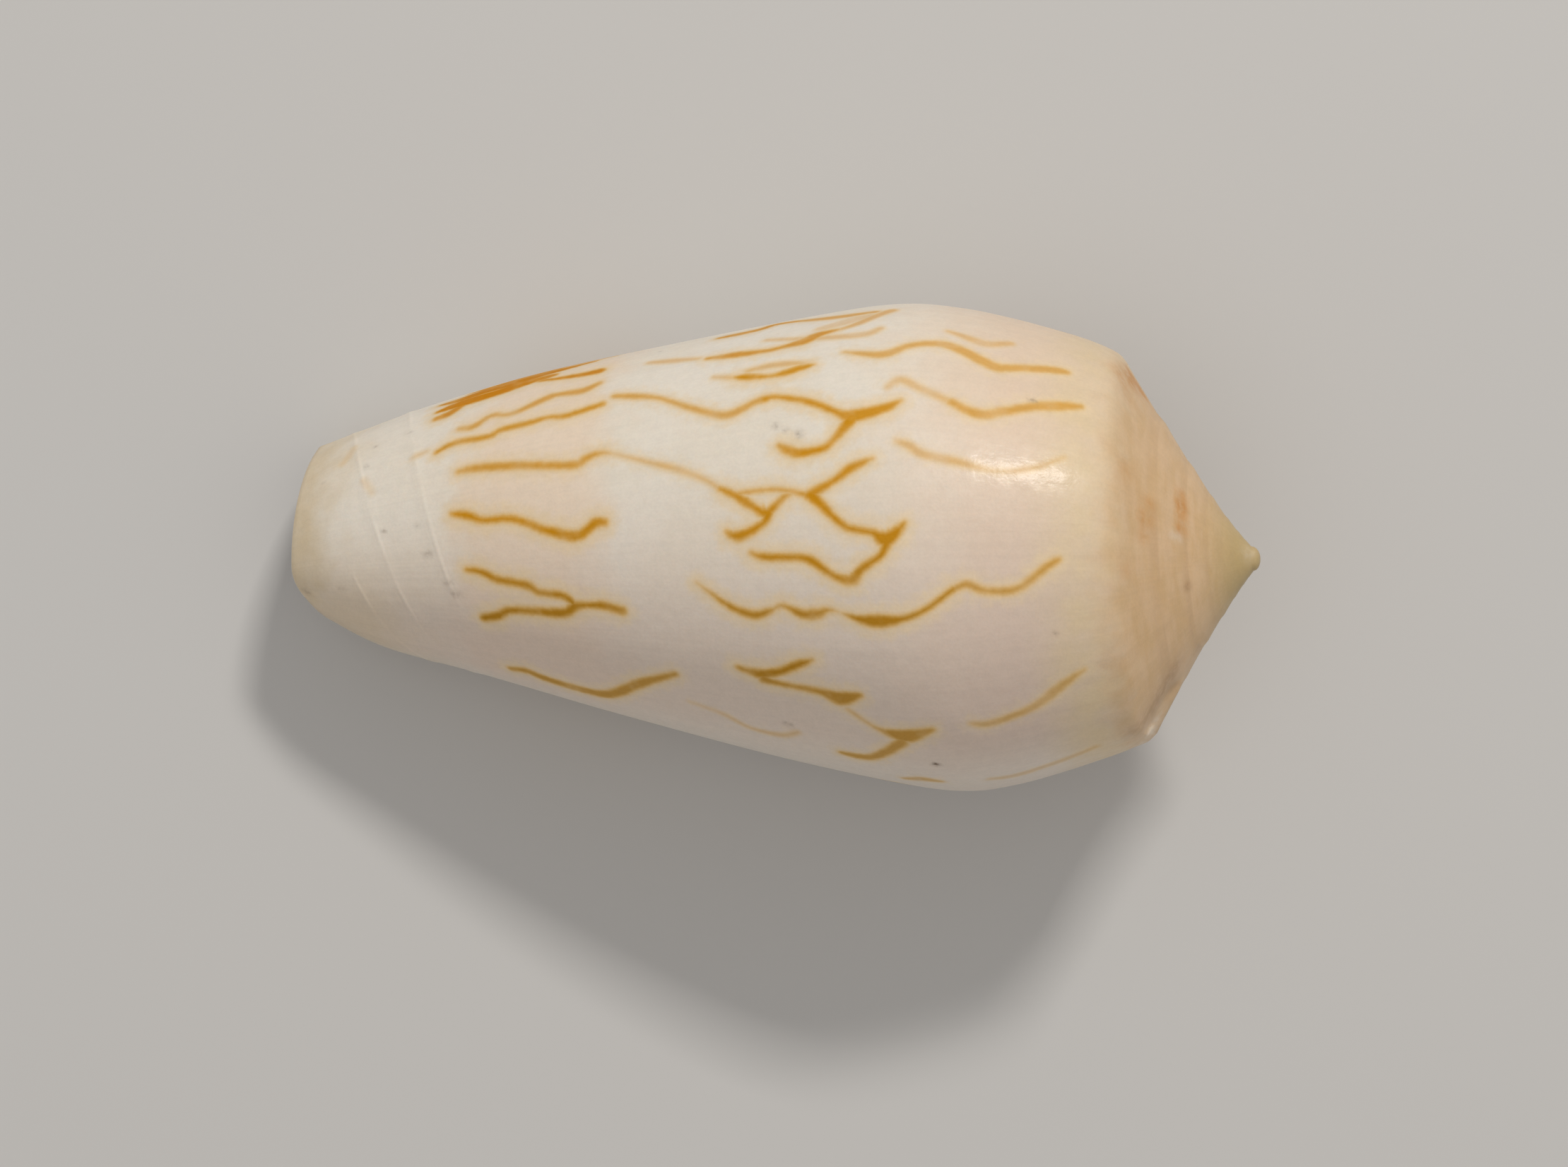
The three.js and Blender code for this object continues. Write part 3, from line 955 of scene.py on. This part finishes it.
INK_SHADED_BROWN = (0.49, 0.235, 0.018, 1)
ORANGE = (0.60, 0.275, 0.065, 1)
BROWN = (0.41, 0.235, 0.11, 1)
SPECK = (0.20, 0.13, 0.08, 1)
INSIDE = (0.80, 0.72, 0.66, 1)


class Place:
    """Where a shaded point lies in the growth frame, as node sockets."""

    def __init__(self, nodes):
        self.grown = nodes.vector("grown")
        x, y, z = nodes.split(self.grown)
        self.along = nodes.multiply(x, -1.0)
        across = nodes.combine(0.0, y, z)
        self.radius = nodes.length(across)
        unit = nodes.add("ShaderNodeVectorMath", {0: across},
                         operation="NORMALIZE").outputs["Vector"]
        _, self.side, self.down = nodes.split(unit)
        self.turn = nodes.math("DEGREES", nodes.math(
            "ARCTAN2", nodes.multiply(z, -1.0), y))
        size = nodes.math("LOGARITHM", nodes.math("DIVIDE", self.radius, NEWER_SIDE[0][1]),
                          GROWTH_PER_TURN)
        self.whorls_back = nodes.minus(nodes.math("DIVIDE", self.turn, 360.0), size)

    def stretched(self, nodes, along, around):
        """Coordinates for a texture that runs without a seam round the shell."""
        return nodes.combine(nodes.multiply(self.along, along),
                             nodes.multiply(self.side, around),
                             nodes.multiply(self.down, around))


def ground_colour(nodes, at):
    """Colour between the markings: it changes along the shell, and on the lower side partly as
    painted shade.
    """
    cloud = nodes.noise(at.grown, 0.16, 2.0)
    wisp = nodes.noise(at.grown, 0.5, 3.0)
    drift = nodes.multiply(nodes.minus(wisp, 0.5), 5.0)
    shifted = nodes.total(at.along, drift)
    # the lilac and the tan put on the lower side are partly the shell's own tint and partly
    # painted shade away from the key light; the lower edge itself turns paler again
    low = nodes.ramp(at.side, 0.6, -0.6)

    colour = nodes.mix(nodes.ramp(cloud, 0.35, 0.65), CREAM, WARM_WHITE)
    front = nodes.multiply(nodes.ramp(shifted, 31.0, 34.5), nodes.ramp(shifted, 42.5, 39.0))
    colour = nodes.mix(nodes.multiply(front, 0.8), colour, PEACH)
    pink = nodes.mix(low, PINK, LILAC_TINT_AND_SHADE)
    colour = nodes.mix(nodes.ramp(shifted, 21.0, 11.0, 0.0, 0.85), colour, pink)
    colour = nodes.mix(nodes.multiply(low, 0.7), colour, LILAC_TINT_AND_SHADE)
    colour = nodes.mix(nodes.ramp(at.side, -0.7, -0.97, 0.0, 0.6), colour, WARM_WHITE)
    tan = nodes.math("MAXIMUM", nodes.ramp(shifted, 46.0, 51.5, 0.0, 0.9),
                     nodes.multiply(low, nodes.ramp(shifted, 41.0, 48.0, 0.0, 0.6)))
    colour = nodes.mix(tan, colour, RIM_TAN)
    straw = nodes.multiply(nodes.ramp(at.along, 11.5, 8.0), nodes.ramp(wisp, 0.2, 0.65, 0.45))
    colour = nodes.mix(straw, colour, STRAW)
    return spire_colour(nodes, at, colour)


def spire_colour(nodes, at, colour):
    """The given colour, turned into the spire's mottled tan, with painted shade darkening it
    towards each suture.
    """
    drift = nodes.multiply(nodes.minus(nodes.noise(at.grown, 0.9, 2.0), 0.5), 2.0)
    on_spire = nodes.ramp(nodes.total(at.along, drift), 8.2, 5.6)
    streaks = nodes.noise(nodes.combine(
        nodes.multiply(at.whorls_back, 5.0), nodes.multiply(at.side, 3.0),
        nodes.multiply(at.down, 3.0)), 1.0, 3.0)
    patches = nodes.noise(at.grown, 0.6, 3.0)
    mottled = nodes.total(nodes.multiply(streaks, 0.45), nodes.multiply(patches, 0.55))
    tan = nodes.mix(nodes.ramp(mottled, 0.35, 0.62), SPIRE_TAN, SPIRE_PINK)
    tan = nodes.mix(nodes.ramp(at.radius, 4.5, 1.0), tan, APEX_TAN)
    colour = nodes.mix(nodes.multiply(on_spire, 0.9), colour, tan)
    part = nodes.math("FRACT", at.whorls_back)
    # painted shade: a darker band on each ramp next to the suture, where the step lies in shade
    suture = nodes.multiply(nodes.ramp(part, 0.6, 0.88), nodes.ramp(part, 1.0, 0.93),
                            nodes.ramp(at.whorls_back, 0.5, 0.6), on_spire,
                            nodes.ramp(streaks, 0.3, 0.6), nodes.ramp(at.radius, 2.0, 4.0))
    return nodes.mix(nodes.multiply(suture, 0.45), colour, SUTURE_SHADE)


def edge_distance(nodes, name, unevenness):
    """Distance from the edge of the nearest marking, found from the way to its middle."""
    edge = nodes.minus(nodes.length(nodes.vector(name + "_way")), nodes.value(name + "_size"))
    far = nodes.multiply(nodes.minus(nodes.value(name + "_distance"), 0.13), 2.0)
    return nodes.total(nodes.math("MAXIMUM", edge, far), unevenness)


def ink(nodes, at):
    """How much each point is covered by the soft edge, the body and the core of the ink."""
    ragged = nodes.minus(nodes.noise(at.grown, 2.2, 3.0), 0.5)
    unevenness = nodes.multiply(ragged, 0.16)
    fading = nodes.ramp(nodes.noise(at.grown, 0.7, 2.0), 0.25, 0.55, 0.8, 1.0)
    body, core = 0.0, 0.0
    for number in range(INK_LAYERS):
        name = f"ink{number}"
        edge = edge_distance(nodes, name, unevenness)
        strength = nodes.multiply(
            nodes.value(name + "_strength"), fading,
            nodes.ramp(nodes.value(name + "_size"), 0.03, 0.2, 0.45, 1.0))
        body = nodes.math("MAXIMUM", nodes.multiply(
            nodes.ramp(edge, 0.25, -0.17), strength), body)
        core = nodes.math("MAXIMUM", nodes.multiply(
            nodes.ramp(edge, 0.06, -0.26), strength, strength), core)
    halo = nodes.ramp(nodes.total(nodes.value("ink_halo"), ragged), 0.1, 1.1, 0.0, 0.75)
    return halo, body, core


def with_markings(nodes, colour, at, halo, body, core):
    """Ink over the given colour: more orange on the upper side, browner on the lower one as
    painted shade.
    """
    colour = nodes.mix(halo, colour, HALO)
    colour = nodes.mix(body, colour, INK_PALE)
    # painted shade: the cores of the ink turn darker brown towards the lower side, away from the
    # key light
    core_colour = nodes.mix(nodes.ramp(at.side, 0.45, -0.35), INK_ORANGE, INK_SHADED_BROWN)
    core_colour = nodes.mix(nodes.ramp(at.side, 0.8, 0.97), core_colour, INK_DEEP)
    return nodes.mix(core, colour, core_colour)


def with_stains_and_patches(nodes, colour, at):
    """Stains, patches and specks over the given colour, and the plain colour of the hollow."""
    patchy = nodes.ramp(nodes.noise(at.grown, 2.4, 3.0), 0.3, 0.6, 0.45)
    for name, tint, amount in (("orange_stain", ORANGE, 0.85), ("brown_patch", BROWN, 0.8),
                               ("pale_patch", WARM_WHITE, 0.8)):
        share = nodes.math("MINIMUM", nodes.multiply(nodes.value(name), patchy), 1.0)
        colour = nodes.mix(nodes.multiply(share, amount), colour, tint)
    spot = nodes.multiply(nodes.value("speck"),
                          nodes.ramp(nodes.noise(at.grown, 4.0, 2.0), 0.35, 0.6, 0.4))
    colour = nodes.mix(nodes.math("MINIMUM", spot, 1.0), colour, SPECK)
    return nodes.mix(nodes.value("inside"), colour, INSIDE)


def cord_height(nodes, at):
    """Thin uneven cords that wind round the base."""
    height = 0.0
    for cord, first, last, _ in CORDS:
        path = nodes.total(nodes.multiply(at.turn, CORD_SLOPE), cord)
        off = nodes.math("ABSOLUTE", nodes.minus(at.along, path))
        there = nodes.multiply(nodes.ramp(off, 0.2, 0.0),
                               nodes.ramp(at.turn, first - CORD_FADE, first),
                               nodes.ramp(at.turn, last + CORD_FADE, last))
        height = nodes.total(there, height)
    return nodes.multiply(height, nodes.ramp(nodes.noise(at.grown, 0.35, 2.0), 0.35, 0.6))


def surface(nodes, at):
    """Fine relief and a matching tone: growth lines, spiral threads, grain and cords."""
    growth_lines = nodes.noise(at.stretched(nodes, 0.12, 40.0), 1.0, 2.0)
    threads = nodes.noise(at.stretched(nodes, 3.0, 2.5), 1.0, 2.0)
    grain = nodes.noise(at.grown, 7.0, 2.0)
    cords = cord_height(nodes, at)
    lumps = nodes.noise(at.grown, 1.7, 3.0)
    height = nodes.total(nodes.multiply(growth_lines, 0.2), nodes.multiply(threads, 0.25),
                         nodes.multiply(grain, 0.18), nodes.multiply(lumps, 0.7),
                         nodes.multiply(cords, 0.7))
    tone = nodes.total(nodes.multiply(growth_lines, 0.25), nodes.multiply(grain, 0.4),
                       nodes.multiply(lumps, 0.35))
    tone = nodes.ramp(tone, 0.3, 0.7, 0.95, 1.035)
    return height, nodes.total(tone, nodes.multiply(cords, 0.05))


def new_material(name):
    material = bpy.data.materials.new(name)
    material.use_nodes = True
    return material, material.node_tree.nodes["Principled BSDF"]


def shell_material():
    """The glazed shell, less glossy on the ink."""
    material, shader = new_material("glazed_shell")
    nodes = Nodes(material.node_tree)
    at = Place(nodes)
    height, tone = surface(nodes, at)
    colour = ground_colour(nodes, at)
    halo, body, core = ink(nodes, at)
    colour = with_markings(nodes, colour, at, halo, body, core)
    colour = with_stains_and_patches(nodes, colour, at)
    bump = nodes.add("ShaderNodeBump", {"Strength": 0.4, "Distance": 0.00006,
                                        "Height": height}).outputs[0]
    settings = {
        "Base Color": nodes.mix(1.0, colour, nodes.grey(tone), "MULTIPLY"),
        "Normal": bump,
        "Coat Normal": bump,
        "Roughness": nodes.ramp(nodes.noise(at.grown, 1.2, 3.0), 0.3, 0.7, 0.42, 0.55),
        "Specular IOR Level": nodes.ramp(body, 0.0, 0.8, 0.42, 0.03),
        "Coat Weight": nodes.ramp(body, 0.0, 0.8, 0.11, 0.0),
        "Coat Roughness": 0.17,
        "Subsurface Weight": 0.15,
        "Subsurface Radius": (1.0, 0.7, 0.5),
        "Subsurface Scale": 0.0006,
    }
    for name, value in settings.items():
        nodes.feed(shader.inputs[name], value)
    return material


def make_shell():
    skin = build_points()
    grown = leaned(np.concatenate(skin.points))
    laid = laid_down(grown)
    mesh = bpy.data.meshes.new("cone_shell")
    mesh.from_pydata((laid * MM).tolist(), [], skin.faces)
    closed = bmesh.new()
    closed.from_mesh(mesh)
    bmesh.ops.recalc_face_normals(closed, faces=closed.faces)
    closed.to_mesh(mesh)
    closed.free()
    mesh.polygons.foreach_set("use_smooth", [True] * len(mesh.polygons))
    paint(mesh, skin, grown)
    mesh.materials.append(shell_material())
    shell = bpy.data.objects.new("cone_shell", mesh)
    bpy.context.scene.collection.objects.link(shell)
    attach(shell, "root")
    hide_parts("shell")


# ---- scene

def make_floor():
    bpy.ops.mesh.primitive_plane_add(size=2.0)
    floor = bpy.context.object
    floor.name = "floor"
    material, shader = new_material("pale_floor")
    shader.inputs["Base Color"].default_value = (0.62, 0.61, 0.6, 1)
    shader.inputs["Roughness"].default_value = 0.9
    floor.data.materials.append(material)


def area_light(name, position, size, power, colour):
    light = bpy.data.lights.new(name, "AREA")
    light.shape = "RECTANGLE"
    light.size, light.size_y = size
    light.energy = power
    light.color = colour
    lamp = bpy.data.objects.new(name, light)
    lamp.location = position
    aim = Vector(LAMP_AIM) - Vector(position)
    lamp.rotation_euler = aim.to_track_quat("-Z", "Y").to_euler()
    bpy.context.scene.collection.objects.link(lamp)


def make_light():
    for lamp in LAMPS:
        area_light(*lamp)
    world = bpy.data.worlds.new("studio")
    world.use_nodes = True
    background = world.node_tree.nodes["Background"]
    background.inputs["Color"].default_value = (1, 0.98, 0.95, 1)
    background.inputs["Strength"].default_value = 0.4
    bpy.context.scene.world = world
    bpy.context.scene.view_settings.view_transform = "Standard"


def make_camera():
    camera = bpy.data.objects.new("camera", bpy.data.cameras.new("camera"))
    camera.data.lens = LENS
    camera.data.sensor_width = SENSOR_WIDTH
    camera.location = Vector((EYE_X, EYE_Y, PLAN_HEIGHT + EYE_HEIGHT)) * MM
    camera.rotation_euler = (0, 0, math.radians(EYE_ROLL))
    camera.data.clip_start = 0.01
    bpy.context.scene.collection.objects.link(camera)
    bpy.context.scene.camera = camera


make_shell()
make_floor()
make_light()
make_camera()
